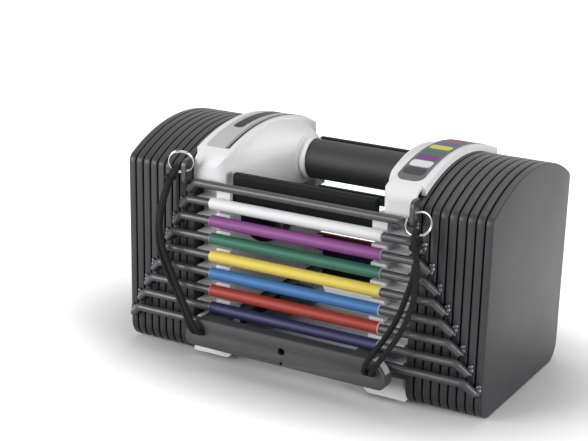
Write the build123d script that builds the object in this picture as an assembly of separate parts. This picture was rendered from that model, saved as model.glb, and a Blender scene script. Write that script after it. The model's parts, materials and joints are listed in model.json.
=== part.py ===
"""Adjustable dumbbell: eight nested pairs of plates, a handle core and a selector pin. Millimetres."""
import math
import os

from build123d import *

# X runs along the handle, -Y is the side where the pin goes in, and Z is up from the floor.

# Weight plates
overall_length = 305.0
weight_count = 8
plate_thickness = 5.8
plate_gap = 1.0
plate_depth = 148.4
plate_shoulder_drop = 0.6
plate_crest_rise = 20.9
plate_top_corner = 7.5
plate_bottom_corner = 15.0

# Rails: one rod in front and one behind for every pair of plates
rail_diameter = 6.35
rail_standoff = 6.0
lowest_rail_height = 31.1
core_rail_drop = 9.7
leg_setback = 9.4
leg_end_setback = 1.5
leg_drop = 7.6
leg_inset = 3.3
bend_radius = 4.0

# Coloured sleeves on the rails
sleeve_diameter = 9.0
sleeve_setback = 19.7
sleeve_clearance = 0.1
sleeve_chamfer = 0.6

# Handle
handle_height = 152.0
handle_tube_diameter = 25.4
handle_tube_wall = 2.5
grip_diameter = 30.6
grip_end_gap = 1.0
grip_edge = 1.2
handle_clearance = 0.3

# Moulded covers
cover_rise = 25.5
cover_setback = 0.7
cover_arch_radius = 165.0
cover_corner = 12.0
cover_width = 26.3
cover_wall = 3.0
cover_edge = 2.5
housing_drop = 12.0
lip_overhang = 3.7
lip_setback = 10.0
lip_gap = 0.3
cover_inner_corner = 8.0
shroud_crest_drop = 1.8
shroud_setback = 11.5
shroud_corner = 18.0
shroud_drop = 26.0
shroud_bottom_corner = 8.0
left_nose_length = 31.0
left_nose_radius = 19.6
right_nose_length = 8.0
right_nose_radius = 46.0
nose_edge = 1.2
collar_radius = 16.8
collar_length = 6.0
collar_edge = 0.6
finger_radius = 72.0
web_pin_gap = 2.1
web_proud = 6.0
web_thickness = 3.0

# Columns of a cover, with the comb of shelves that keeps the rails apart
column_depth = 15.5
column_width = 12.0
comb_gap = 1.3
comb_depth = 12.0
shelf_setback = 2.6
shelf_thickness = 2.0
shelf_over_rail = 1.3
foot_bottom = 3.0
foot_height = 17.0
foot_proud = 9.0
foot_corner = 7.0

# Padded bars beside the hand
pad_gap = 0.3
pad_thickness = 7.7
pad_bottom_drop = 30.0
pad_top_drop = 1.0
pad_edge = 2.5
rib_pitch = 4.0
rib_width = 1.4
rib_depth = 1.0
rib_margin = 8.0

# Selector pin
pinned_weight_count = 7
pin_end_gap = 6.3
pin_depth = 11.5
pin_height = 22.4
pin_top_corner = 16.0
pin_bottom_corner = 5.5
pin_edge = 1.0
pin_centre_hole = 6.0
pin_small_hole = 2.4
prong_offset = 0.5
prong_width = 19.0
prong_corner = 5.0
prong_root = 8.0
prong_clearance = 0.3

# Ears, split rings and elastic cords
ear_thickness = 3.0
ear_reach = 10.0
ear_bottom_drop = 12.5
ear_top_rise = 7.0
ear_slot_width = 5.8
ear_slot_height = 11.0
ear_slot_wall = 2.2
ring_radius = 9.4
ring_wire = 1.6
ring_coil_pitch = 1.3
cord_diameter = 4.2
cord_hole_offset = 7.0
cord_hole_drop = 10.4
cord_hole_width = 10.0
cord_hole_gap = 0.4

# Routes of the elastic cords: from the pin's hole up one strand, through the ring and down the other.
# Each point is the distance inwards from the core plate, the distance in front of the plate's edge,
# and the share of the way up from the pin's hole to the ear.
left_cord_route = [
    (19.7, 13.8, 0.0000), (19.7, 25.4, 0.0017), (16.2, 26.6, 0.0418), (10.2, 23.8, 0.1086),
    (0.7, 19.3, 0.2046), (-11.8, 16.8, 0.3466), (-19.3, 16.3, 0.5136), (-19.8, 15.3, 0.6973),
    (-17.4, 10.3, 0.8476), (-13.4, 5.6, 0.9762), (-7.8, 5.4, 1.0388), (-4.0, 12.8, 1.0171),
    (-9.6, 13.1, 0.9545), (-12.3, 15.8, 0.8476), (-15.3, 19.3, 0.6973), (-13.3, 20.3, 0.5470),
    (-3.8, 21.3, 0.3800), (7.2, 23.3, 0.2213), (16.2, 26.8, 0.1127), (22.0, 27.8, 0.0443),
    (24.7, 25.8, 0.0017), (24.7, 13.8, 0.0000),
]
right_cord_route = [
    (24.7, 13.8, 0.0000), (24.7, 25.8, 0.0017), (22.2, 27.8, 0.0752), (16.2, 25.3, 0.1628),
    (9.7, 21.8, 0.2547), (1.7, 19.3, 0.3883), (-4.3, 18.1, 0.5553), (-9.0, 17.6, 0.6973),
    (-8.3, 16.0, 0.8317), (-6.7, 10.1, 0.8910), (-6.7, 16.8, 0.9378), (-8.3, 22.8, 0.8785),
    (-13.3, 24.3, 0.7390), (-12.8, 23.8, 0.5804), (-8.3, 24.3, 0.4217), (-1.3, 25.3, 0.2797),
    (7.7, 26.3, 0.1587), (15.7, 27.6, 0.0543), (19.7, 25.6, 0.0017), (19.7, 13.8, 0.0000),
]
cord_bend_share = 0.45

# Labels and screws
label_inner_margin = 3.5
label_outer_margin = 1.8
label_end_margin = 13.0
label_thickness = 0.4
label_gap = 0.1
screw_diameter = 4.0
screw_head_diameter = 8.0
screw_length = 16.0
screw_clearance = 0.15
screw_boss_radius = 5.0
upper_screw_margin = 23.5

# Worked out from the sizes above
plate_pitch = plate_thickness + plate_gap
outer_plate_x = (overall_length - plate_thickness) / 2
core_plate_x = outer_plate_x - weight_count * plate_pitch
core_face_x = core_plate_x - plate_thickness / 2
plate_shoulder = handle_height - plate_shoulder_drop
plate_crest = handle_height + plate_crest_rise
rail_y = plate_depth / 2 + rail_standoff
rail_pitch = (handle_height - core_rail_drop - lowest_rail_height) / weight_count
sleeve_length = 2 * (core_face_x - sleeve_setback)
prong_thickness = rail_pitch - sleeve_diameter - 3 * prong_clearance
cover_inner = core_face_x - cover_width
cover_crest = handle_height + cover_rise
cover_half_depth = plate_depth / 2 - cover_setback
housing_bottom = handle_height - housing_drop
lip_outer = core_face_x + lip_overhang
lip_half_depth = cover_half_depth - lip_setback
shroud_inner = cover_inner - right_nose_length
shroud_crest = cover_crest - shroud_crest_drop
shroud_half_depth = cover_half_depth - shroud_setback
shroud_bottom = handle_height - shroud_drop
web_inner = cover_inner - web_proud
column_outer = web_inner + column_width
comb_outer = core_face_x - comb_gap
shelf_outer = core_face_x - shelf_setback
foot_inner = cover_inner - foot_proud
grip_length = 2 * (shroud_inner - grip_end_gap)
pad_bottom = handle_height - pad_bottom_drop
pad_top = handle_height - pad_top_drop
ear_bottom = handle_height - ear_bottom_drop
ear_top = handle_height + ear_top_rise
pin_width = 2 * (core_face_x - pin_end_gap)
prong_centre = cover_inner - prong_offset
cord_hole_x = cover_inner + cord_hole_offset
label_inner = cover_inner + label_inner_margin
label_outer = core_face_x - label_outer_margin
label_half_depth = cover_half_depth - label_end_margin
upper_screw_depth = cover_half_depth - upper_screw_margin
pin_rear_y = -(rail_y + sleeve_diameter / 2 + prong_clearance)
pin_front_y = pin_rear_y - pin_depth
cover_inner_depth = cover_half_depth - column_depth
FRONT, REAR = -1, 1
LEFT, RIGHT = -1, 1


def plate_x(level):
    """Distance of a plate's middle from the centre; level 0 is the core's own plate."""
    return core_plate_x + level * plate_pitch


def rail_z(level):
    """Height of a rail's centre line; level 0 is the core's own rail."""
    return lowest_rail_height + (weight_count - level) * rail_pitch


def block(x0, x1, y0, y1, z0, z1):
    """Box between two corners, given in any order."""
    size = (abs(x1 - x0), abs(y1 - y0), abs(z1 - z0))
    return Pos((x0 + x1) / 2, (y0 + y1) / 2, (z0 + z1) / 2) * Box(*size)


def rod(x0, x1, y, z, diameter):
    """Cylinder along X between two positions."""
    axis = Plane((min(x0, x1), y, z), x_dir=(0, 1, 0), z_dir=(1, 0, 0))
    return axis * Cylinder(diameter / 2, abs(x1 - x0), align=(Align.CENTER, Align.CENTER, Align.MIN))


def arched_face(half_depth, bottom, shoulder, crest, top_corner, bottom_corner=0.0):
    """Outline with an arched top, drawn in Y and Z."""
    left, right = (-half_depth, shoulder), (half_depth, shoulder)
    sides = Polyline(left, (-half_depth, bottom), (half_depth, bottom), right)
    arch = ThreePointArc(right, (0, crest), left)
    face = make_face(sides + arch)
    corners = face.vertices().sort_by(Axis.Y)
    face = fillet(corners[2:], top_corner)
    if bottom_corner:
        face = fillet(face.vertices().sort_by(Axis.Y)[:2], bottom_corner)
    return face


def along_x(face, x0, x1):
    """Solid of a Y-Z outline between two positions along X."""
    start = Plane((min(x0, x1), 0, 0), x_dir=(0, 1, 0), z_dir=(1, 0, 0))
    return extrude(start * face, abs(x1 - x0))


def arch_height(y, crest, radius):
    """Height at depth y of an arch that has its crest at y = 0."""
    return crest - radius + math.sqrt(radius**2 - y**2)


def plate(level, side):
    """One weight plate."""
    half_depth = plate_depth / 2
    face = arched_face(half_depth, 0, plate_shoulder, plate_crest, plate_top_corner, plate_bottom_corner)
    middle = side * plate_x(level)
    return along_x(face, middle - plate_thickness / 2, middle + plate_thickness / 2)


def rail(level, face_side):
    """Rod that joins a pair of plates; its bent ends are ground flush against their edges."""
    y, z = face_side * rail_y, rail_z(level)
    straight, end = plate_x(level) - leg_setback, plate_x(level) - leg_end_setback
    end_y = y - face_side * leg_inset
    points = [(-end, end_y, z - leg_drop), (-straight, y, z), (straight, y, z), (end, end_y, z - leg_drop)]
    path = FilletPolyline(*points, radius=bend_radius)
    section = Plane(origin=path @ 0, z_dir=path % 0) * Circle(rail_diameter / 2)
    return sweep(section, path=path) - plate(level, LEFT) - plate(level, RIGHT)


def sleeve(level, face_side):
    """Coloured sleeve on a rail."""
    y, z = face_side * rail_y, rail_z(level)
    half = sleeve_length / 2
    tube = rod(-half, half, y, z, sleeve_diameter)
    tube = chamfer(tube.edges().filter_by(GeomType.CIRCLE), sleeve_chamfer)
    return tube - rod(-half, half, y, z, rail_diameter + 2 * sleeve_clearance)


def both_faces(piece, level):
    """The same piece in front and behind, as two separate solids."""
    return Compound(children=[piece(level, FRONT), piece(level, REAR)])


def screw_places():
    """Depth and height of a cover's screws."""
    low_y = cover_half_depth - column_depth / 2
    low_z = foot_bottom + foot_height / 2
    places = []
    for face_side in (FRONT, REAR):
        places.append((face_side * upper_screw_depth, handle_height))
        places.append((face_side * low_y, low_z))
    return places


def screw(side, y, z, clearance=0.0):
    """Flat-headed screw from a core plate's outer face into the cover."""
    outer = core_face_x + plate_thickness
    radius, head = screw_diameter / 2 + clearance, screw_head_diameter / 2 + clearance
    tip = outer - screw_length - clearance
    neck = outer - head + radius
    profile = Polyline((tip, 0), (outer, 0), (outer, head), (neck, radius), (tip, radius), close=True)
    turned = revolve(make_face(profile), Axis.X, 360)
    return Pos(0, y, z) * to_side(turned, side)


def core_plate(side):
    """Plate of the handle core, with countersunk holes for the cover's screws."""
    body = plate(0, side)
    for y, z in screw_places():
        body -= screw(side, y, z, screw_clearance)
    return body


def column_and_comb(face_side):
    """Right-hand column of a cover: slotted for the prongs, with a comb of shelves outside it."""
    front = face_side * cover_half_depth
    back = face_side * cover_inner_depth
    web_y = face_side * (cover_half_depth - comb_depth)
    foot_top = foot_bottom + foot_height
    body = block(web_inner, column_outer, front, back, foot_top, housing_bottom)
    body += block(column_outer, comb_outer, web_y, back, foot_top, housing_bottom)
    foot = block(foot_inner, core_face_x, front, back, foot_bottom, foot_top)
    inner_edges = foot.edges().filter_by(Axis.Y).sort_by(Axis.X)[:2]
    body += fillet(inner_edges, foot_corner)
    for level in range(1, weight_count + 1):
        top = rail_z(level) + shelf_over_rail
        body += block(column_outer, shelf_outer, front, web_y, top - shelf_thickness, top)
    return body


def prong_slots():
    """Channels through both columns, one under each rail."""
    x0 = prong_centre - prong_width / 2 - prong_clearance
    x1 = prong_centre + prong_width / 2 + prong_clearance
    slots = []
    for level in range(1, weight_count + 1):
        z1 = prong_top(level) + prong_clearance
        z0 = z1 - prong_thickness - 2 * prong_clearance
        slots.append(block(x0, x1, -cover_half_depth, cover_half_depth, z0, z1))
    return slots


def prong_top(level):
    """Top of the prongs when the pin is pushed in under a rail."""
    return rail_z(level) - sleeve_diameter / 2 - 2 * prong_clearance


def web():
    """Cross wall of a cover between its columns, cut away round the hand."""
    outer = web_inner + web_thickness
    bottom = prong_top(pinned_weight_count) + web_pin_gap
    wall = block(web_inner, outer, -cover_inner_depth, cover_inner_depth, bottom, housing_bottom)
    return wall - rod(web_inner, outer, 0, handle_height, 2 * finger_radius)


def housing():
    """Arched top of a cover, hollow towards the core plate."""
    shoulder = arch_height(cover_half_depth, cover_crest, cover_arch_radius)
    outline = arched_face(cover_half_depth, housing_bottom, shoulder, cover_crest, cover_corner)
    body = along_x(outline, cover_inner, core_face_x)
    crown = body.edges().group_by(Axis.X)[0].filter_by(GeomType.CIRCLE)
    body = fillet(crown, cover_edge)
    body &= rounded_plan(cover_inner, cover_half_depth, cover_inner_corner)
    cavity_half_depth = cover_half_depth - cover_wall
    cavity_crest = cover_crest - cover_wall
    cavity_shoulder = arch_height(cavity_half_depth, cavity_crest, cover_arch_radius - cover_wall)
    cavity = along_x(
        arched_face(
            cavity_half_depth,
            housing_bottom + cover_wall,
            cavity_shoulder,
            cavity_crest,
            cover_corner - cover_wall,
        ),
        cover_inner + cover_wall,
        core_face_x,
    )
    body -= cavity & rounded_plan(cover_inner + cover_wall, cavity_half_depth, cover_inner_corner - cover_wall)
    for y, z in screw_places():
        if z > housing_bottom:
            body += rod(cover_inner, core_face_x, y, z, 2 * screw_boss_radius)
    return body + lip()


def rounded_plan(inner, half_depth, corner):
    """Block as tall as a cover, with its two upright edges towards the hand rounded."""
    body = block(inner, core_face_x, -half_depth, half_depth, housing_bottom, cover_crest)
    return fillet(body.edges().filter_by(Axis.Z).group_by(Axis.X)[0], corner)


def lip():
    """Edge of the arched top that hangs over the core plate."""
    shoulder = arch_height(lip_half_depth, cover_crest, cover_arch_radius)
    over = arched_face(lip_half_depth, plate_shoulder, shoulder, cover_crest, lip_gap)
    plate_face = arched_face(
        plate_depth / 2 + lip_gap, 0, plate_shoulder + lip_gap, plate_crest + lip_gap, plate_top_corner
    )
    return along_x(over, core_face_x, lip_outer) - along_x(plate_face, core_face_x, lip_outer)


def across(face, x):
    """A Y-Z outline moved to a position along X."""
    return Plane((x, 0, 0), x_dir=(0, 1, 0), z_dir=(1, 0, 0)) * face


def nose_rim(radius):
    """Outline of the nose's end, round the handle: an arch as high above the handle as the cover allows."""
    rise = min(radius, shroud_crest - handle_height)
    drop = min(radius, shroud_drop)
    crest = handle_height + rise
    return arched_face(radius, handle_height - drop, crest - rise / 2, crest, rise / 2, drop / 3)


def shroud(nose_length, nose_radius):
    """Inner face of a cover: it narrows to a nose, from which a collar runs along the grip."""
    shoulder = shroud_crest - shroud_corner
    outline = arched_face(
        shroud_half_depth, shroud_bottom, shoulder, shroud_crest, shroud_corner, shroud_bottom_corner
    )
    nose_end = cover_inner - nose_length
    nose = loft([across(outline, cover_inner), across(nose_rim(nose_radius), nose_end)], ruled=True)
    nose = fillet(nose.edges().group_by(Axis.X)[0], nose_edge)
    collar = rod(nose_end - collar_length, cover_inner, 0, handle_height, 2 * collar_radius)
    collar = fillet(collar.edges().group_by(Axis.X)[0], collar_edge)
    return along_x(outline, cover_inner, cover_inner + cover_wall) + nose + collar


def right_cover(nose_length, nose_radius):
    """Right-hand cover: the arched top with its inner face and collar."""
    body = housing() + shroud(nose_length, nose_radius)
    body -= rod(0, core_face_x, 0, handle_height, handle_tube_diameter + 2 * handle_clearance)
    grip_end = grip_length / 2 + handle_clearance
    body -= rod(0, grip_end, 0, handle_height, grip_diameter + 2 * handle_clearance)
    for y, z in screw_places():
        body -= screw(RIGHT, y, z, screw_clearance)
    return body


def right_columns(nose_length, nose_radius):
    """Right-hand spacer columns under the cover, slotted for the prongs, with their combs and feet."""
    columns = []
    for face_side in (FRONT, REAR):
        column = column_and_comb(face_side)
        for slot in prong_slots():
            column -= slot
        for y, z in screw_places():
            column -= screw(RIGHT, y, z, screw_clearance)
        columns.append(column - housing() - shroud(nose_length, nose_radius))
    return Compound(children=columns)


def right_wall(nose_length, nose_radius):
    """Right-hand cross wall between the columns, cut away round the hand."""
    return web() - shroud(nose_length, nose_radius)


def to_side(piece, side):
    """A right-hand piece, mirrored if it goes on the left."""
    return piece if side == RIGHT else mirror(piece, Plane.YZ)


def handle_tube():
    """Steel tube welded between the core plates."""
    bore = handle_tube_diameter - 2 * handle_tube_wall
    tube = rod(-core_face_x, core_face_x, 0, handle_height, handle_tube_diameter)
    return tube - rod(-core_face_x, core_face_x, 0, handle_height, bore)


def grip():
    """Rubber grip on the handle tube."""
    half = grip_length / 2
    body = rod(-half, half, 0, handle_height, grip_diameter)
    body = fillet(body.edges().filter_by(GeomType.CIRCLE), grip_edge)
    return body - rod(-half, half, 0, handle_height, handle_tube_diameter)


def hand_pad(face_side):
    """Padded bar between the covers, ribbed on the side that faces the hand."""
    half = web_inner - pad_gap
    inner = face_side * (shroud_half_depth + pad_gap)
    outer = inner + face_side * pad_thickness
    body = block(-half, half, inner, outer, pad_bottom, pad_top)
    body = fillet(body.edges().filter_by(Axis.X), pad_edge)
    ribs = int((sleeve_length / 2 - 2 * rib_margin) / rib_pitch)
    for index in range(-ribs, ribs + 1):
        x = index * rib_pitch
        groove_y = inner + face_side * rib_depth
        low, high = pad_bottom + rib_margin, pad_top - rib_margin
        body -= block(x - rib_width / 2, x + rib_width / 2, inner, groove_y, low, high)
    return body


def prong(side):
    """Flat prong of the selector pin; it reaches as far behind as the bar stands in front."""
    front = pin_rear_y - prong_root
    x0, x1 = (side * (prong_centre + sign * prong_width / 2) for sign in (-1, 1))
    top = prong_top(pinned_weight_count)
    body = block(x0, x1, front, -pin_front_y, top - prong_thickness, top)
    tips = body.edges().filter_by(Axis.Z).group_by(Axis.Y)[-1]
    return fillet(tips, prong_corner)


def pin_bar():
    """Bar of the selector pin, with holes for the cords and pockets for the prongs."""
    top = prong_top(pinned_weight_count)
    middle = top - pin_height / 2
    outline = Pos(0, middle) * Rectangle(pin_width, pin_height)
    corners = outline.vertices().sort_by(Axis.Y)
    outline = fillet(corners[:2], pin_bottom_corner)
    outline = fillet(outline.vertices().sort_by(Axis.Y)[-2:], pin_top_corner)
    face_plane = Plane((0, pin_front_y, 0), x_dir=(1, 0, 0), z_dir=(0, -1, 0))
    body = extrude(face_plane * outline, -pin_depth)
    body = chamfer(body.faces().sort_by(Axis.Y)[0].edges(), pin_edge)
    cord_height = top - cord_hole_drop
    hole = Pos(0, cord_height) * Circle(pin_centre_hole / 2)
    hole += Pos(0, middle - pin_height / 2 + pin_small_hole) * Circle(pin_small_hole / 2)
    slot = SlotOverall(cord_hole_width, cord_diameter + 2 * cord_hole_gap)
    for side in (LEFT, RIGHT):
        hole += Pos(side * cord_hole_x, cord_height) * slot
    body -= extrude(face_plane * hole, -pin_depth)
    for side in (LEFT, RIGHT):
        body -= prong(side)
    return body


def ear(side):
    """Slotted lug on a core plate's front edge, which holds the split ring."""
    front = -plate_depth / 2
    middle = (ear_bottom + ear_top) / 2
    outline = Pos(front, middle) * Rectangle(2 * ear_reach, ear_top - ear_bottom)
    outline = fillet(outline.vertices().sort_by(Axis.X)[:2], ear_reach / 2)
    outline -= Pos(front + ear_reach, middle) * Rectangle(2 * ear_reach, ear_top - ear_bottom)
    slot = SlotOverall(ear_slot_height, ear_slot_width, rotation=90)
    outline -= Pos(front - ear_reach + ear_slot_wall + ear_slot_width / 2, middle) * slot
    x = side * core_plate_x
    return along_x(outline, x - ear_thickness / 2, x + ear_thickness / 2)


def ring_seat(side):
    """Point on the ring's wire that lies in the ear's slot."""
    y = -plate_depth / 2 - ear_reach + ear_slot_wall + ear_slot_width / 2
    return Vector(side * core_plate_x, y, (ear_bottom + ear_top) / 2)


ring_lean = {LEFT: Vector(-0.24, -0.43, 0.87), RIGHT: Vector(0.61, -0.51, -0.61)}
ring_pass = {LEFT: Vector(0.88, 0.33, 0.34), RIGHT: Vector(0.79, 0.39, 0.47)}


def ring_frame(side):
    """Plane of a split ring: it leans from the ear's slot, and its wire crosses the slot."""
    lean = ring_lean[side].normalized()
    normal = lean.cross(ring_pass[side]).normalized()
    centre = ring_seat(side) + lean * ring_radius
    return Plane(centre, x_dir=lean, z_dir=normal)


def split_ring(side):
    """Split ring: two coils of wire side by side."""
    coil = Torus(ring_radius, ring_wire / 2)
    offset = ring_coil_pitch / 2
    return ring_frame(side) * (Pos(0, 0, -offset) * coil + Pos(0, 0, offset) * coil)


def cord_points(side, route):
    """Points of a cord's route."""
    low, high = prong_top(pinned_weight_count) - cord_hole_drop, ring_seat(side).Z
    points = []
    for inwards, in_front, share in route:
        x = side * (core_plate_x - inwards)
        points.append(Vector(x, -plate_depth / 2 - in_front, low + share * (high - low)))
    return points


def cord_radii(points):
    """Radius at every inner point of a route, as large as its two runs allow."""
    radii = []
    for before, here, after in zip(points, points[1:], points[2:]):
        turn = math.radians((here - before).get_angle(after - here))
        shorter = min((here - before).length, (after - here).length)
        radii.append(cord_bend_share * shorter / math.tan(turn / 2))
    return radii


def elastic_cord(name, side, route):
    """Elastic cord as a plain tube along its route."""
    points = cord_points(side, route)
    radii = cord_radii(points)
    path = FilletPolyline(*points, radius=radii)
    tube = sweep(Plane(origin=path @ 0, z_dir=path % 0) * Circle(cord_diameter / 2), path=path)
    section = math.pi * cord_diameter**2 / 4
    print(name, "length", round(path.length, 1), "volume over section", round(tube.volume / section, 1))
    print(name, "radii", [round(radius, 1) for radius in radii])
    return tube


def crown_arc(height):
    """Ends and middle of an arc that runs at a height over a cover's crown."""
    crest = cover_crest + height
    end = arch_height(label_half_depth, crest, cover_arch_radius + height)
    return (-label_half_depth, end), (0, crest), (label_half_depth, end)


def top_label(side):
    """Thin label on the crown of a cover."""
    under = crown_arc(label_gap)
    over = crown_arc(label_gap + label_thickness)
    outline = ThreePointArc(*under) + Line(under[2], over[2])
    outline += ThreePointArc(*over) + Line(over[0], under[0])
    return along_x(make_face(outline), side * label_inner, side * label_outer)


def screws(side):
    """The four screws of one cover."""
    return Compound(children=[screw(side, y, z) for y, z in screw_places()])


def write(name, shape):
    """Write one piece to its own file."""
    export_step(shape, f"parts/{name}.step")


def write_weights():
    """Write every weight: two plates, two rails and two sleeves."""
    for level in range(1, weight_count + 1):
        write(f"weight_{level}_left_plate", plate(level, LEFT))
        write(f"weight_{level}_right_plate", plate(level, RIGHT))
        write(f"weight_{level}_rails", both_faces(rail, level))
        write(f"weight_{level}_sleeves", both_faces(sleeve, level))


def write_core():
    """Write the handle core with its covers, rings and labels."""
    write("core_rails", both_faces(rail, 0))
    write("handle_tube", handle_tube())
    write("handle_grip", grip())
    write("front_hand_pad", hand_pad(FRONT))
    write("rear_hand_pad", hand_pad(REAR))
    noses = {LEFT: (left_nose_length, left_nose_radius), RIGHT: (right_nose_length, right_nose_radius)}
    for name, side in (("left", LEFT), ("right", RIGHT)):
        write(f"{name}_core_plate", core_plate(side))
        write(f"{name}_cover", to_side(right_cover(*noses[side]), side))
        write(f"{name}_comb_columns", to_side(right_columns(*noses[side]), side))
        write(f"{name}_cross_wall", to_side(right_wall(*noses[side]), side))
        write(f"{name}_cover_screws", screws(side))
        write(f"{name}_cord_ear", ear(side))
        write(f"{name}_split_ring", split_ring(side))
    write("left_name_label", top_label(LEFT))
    write("right_weight_chart", top_label(RIGHT))


def write_pin():
    """Write the selector pin and its cords."""
    write("pin_bar", pin_bar())
    write("left_prong", prong(LEFT))
    write("right_prong", prong(RIGHT))
    write("left_elastic_cord", elastic_cord("left cord", LEFT, left_cord_route))
    write("right_elastic_cord", elastic_cord("right cord", RIGHT, right_cord_route))


os.makedirs("parts", exist_ok=True)
write_weights()
write_core()
write_pin()
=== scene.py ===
# %% [markdown]
# # Adjustable dumbbell
#
# The object is a block dumbbell: eight nested pairs of steel plates on coloured rails, a white
# handle core in the middle, and a fork-shaped selector pin on two elastic cords.
# The solid shapes come from the CAD frame. This notebook gives them their finish, and adds the
# small forms that CAD leaves plain: rolled plate edges, weld beads, ring wire, cords and labels.
#
# ## The CAD frame
#
# The box round them is noted at once.

# %% Load the CAD frame
import json
import math
import random

import bmesh
import bpy
from mathutils import Matrix, Quaternion, Vector


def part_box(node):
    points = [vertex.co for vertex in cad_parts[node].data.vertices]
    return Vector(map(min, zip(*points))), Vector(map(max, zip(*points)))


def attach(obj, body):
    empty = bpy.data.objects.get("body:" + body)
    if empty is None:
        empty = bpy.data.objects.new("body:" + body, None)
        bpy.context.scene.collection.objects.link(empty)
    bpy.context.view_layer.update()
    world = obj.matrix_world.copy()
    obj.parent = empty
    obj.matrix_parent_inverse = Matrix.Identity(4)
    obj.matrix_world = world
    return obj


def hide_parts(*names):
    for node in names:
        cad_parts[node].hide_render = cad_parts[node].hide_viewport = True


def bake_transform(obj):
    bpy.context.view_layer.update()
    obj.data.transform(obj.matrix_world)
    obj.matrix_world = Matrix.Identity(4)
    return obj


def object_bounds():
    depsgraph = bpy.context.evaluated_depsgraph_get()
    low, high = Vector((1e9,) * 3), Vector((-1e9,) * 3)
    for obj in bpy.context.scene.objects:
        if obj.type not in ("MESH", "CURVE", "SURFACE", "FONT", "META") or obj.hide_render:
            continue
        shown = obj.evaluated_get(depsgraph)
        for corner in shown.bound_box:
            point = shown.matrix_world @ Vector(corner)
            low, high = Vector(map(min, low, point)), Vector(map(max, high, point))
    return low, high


MM = 0.001

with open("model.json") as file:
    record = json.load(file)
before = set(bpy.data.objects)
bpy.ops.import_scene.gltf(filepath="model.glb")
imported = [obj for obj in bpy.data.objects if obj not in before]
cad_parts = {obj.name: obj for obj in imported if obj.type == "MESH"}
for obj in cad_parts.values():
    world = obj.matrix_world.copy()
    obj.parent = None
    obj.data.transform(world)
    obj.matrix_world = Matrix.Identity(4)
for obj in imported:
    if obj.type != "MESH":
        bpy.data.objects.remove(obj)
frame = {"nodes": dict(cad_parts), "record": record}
nodes = frame["nodes"]
cad_box = [list(corner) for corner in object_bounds()]
print("CAD nodes:", len(nodes), "box in metres:", cad_box)

# %% [markdown]
# ## Helpers for materials
#
# Every colour is written as an sRGB hex value, the way a paint chart gives it, and one function
# turns it to the linear numbers that Blender computes with. A second function adds a node,
# sets it up and links it, so that each material below reads as a short list of steps. A third
# starts each material on the Principled shader, which suits metal, plastic and rubber alike,
# and sets the few values that tell them apart.

# %% Colours


def colour(hex_code):
    """Linear RGBA of an sRGB hex colour."""
    parts = [int(hex_code[i : i + 2], 16) / 255 for i in (1, 3, 5)]
    return tuple(c / 12.92 if c <= 0.04045 else ((c + 0.055) / 1.055) ** 2.4 for c in parts) + (1.0,)


print("middle grey as linear numbers:", [round(c, 3) for c in colour("#808080")])

# %% Nodes and materials


def add_node(tree, kind, inputs=None, **settings):
    """Add a node; inputs maps a socket to a value or to the output that feeds it."""
    node = tree.nodes.new(kind)
    for name, value in settings.items():
        setattr(node, name, value)
    for name, value in (inputs or {}).items():
        if isinstance(value, bpy.types.NodeSocket):
            tree.links.new(value, node.inputs[name])
        else:
            node.inputs[name].default_value = value
    return node


def new_material(name, base, roughness, metallic=0.0, ior=1.5, specular=0.5):
    """A Principled material; returns it with its tree and its shader."""
    material = bpy.data.materials.new(name)
    material.use_nodes = True
    tree = material.node_tree
    shader = tree.nodes["Principled BSDF"]
    shader.inputs["Base Color"].default_value = colour(base)
    shader.inputs["Roughness"].default_value = roughness
    shader.inputs["Metallic"].default_value = metallic
    shader.inputs["IOR"].default_value = ior
    shader.inputs["Specular IOR Level"].default_value = specular
    return material, tree, shader


def per_mm(size_mm):
    """Noise scale whose blotches are about this many millimetres wide."""
    return 1 / (size_mm * MM)


print("noise scale of a 1 mm grain:", per_mm(1.0))

# %% [markdown]
# ## Powder-coated steel
#
# The plates and rails are mild steel with a baked powder coat. Powder melts into a skin with a
# fine orange peel: grains of about 0.3 mm. They are too fine to show from a metre away, so the
# peel is drawn nearly 2 mm wide. The plates wear a flat dark grey; the round rails took more
# heat and flowed out glossier, so they catch thin highlights. A picture of real paint could be
# wrapped round each piece, but it would need a UV map and show a seam. Noise in space needs
# neither: a fine one gives the peel, and a slow one varies the gloss as a sprayed coat does.

# %% Powder coats
PEEL_STRENGTH = 0.35
CLOUD_MM = 45.0
GLOSS_SPREAD = 0.06


def powder_coat(name, base, roughness, peel_mm, relief_mm, specular=0.5):
    """Baked powder coat with an orange-peel relief and slightly uneven gloss."""
    material, tree, shader = new_material(name, base, roughness, specular=specular)
    place = add_node(tree, "ShaderNodeTexCoord").outputs["Object"]
    peel = add_node(tree, "ShaderNodeTexNoise", {"Vector": place, "Scale": per_mm(peel_mm), "Detail": 3.0})
    cloud = add_node(tree, "ShaderNodeTexNoise", {"Vector": place, "Scale": per_mm(CLOUD_MM), "Detail": 2.0})
    glossy, dull = roughness - GLOSS_SPREAD, roughness + GLOSS_SPREAD
    gloss = add_node(
        tree,
        "ShaderNodeMapRange",
        {"Value": cloud.outputs["Fac"], "To Min": glossy, "To Max": dull},
    )
    tree.links.new(gloss.outputs["Result"], shader.inputs["Roughness"])
    relief = add_node(
        tree,
        "ShaderNodeBump",
        {"Height": peel.outputs["Fac"], "Strength": PEEL_STRENGTH, "Distance": relief_mm * MM},
    )
    tree.links.new(relief.outputs["Normal"], shader.inputs["Normal"])
    return material


plate_coat = powder_coat(
    "powder_coated_plate_steel", "#323235", roughness=0.4, peel_mm=1.6, relief_mm=0.35, specular=0.36
)
rail_coat = powder_coat(
    "powder_coated_rail_steel", "#434346", roughness=0.32, peel_mm=1.8, relief_mm=0.22
)
print("powder coats:", plate_coat.name, rail_coat.name)
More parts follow.
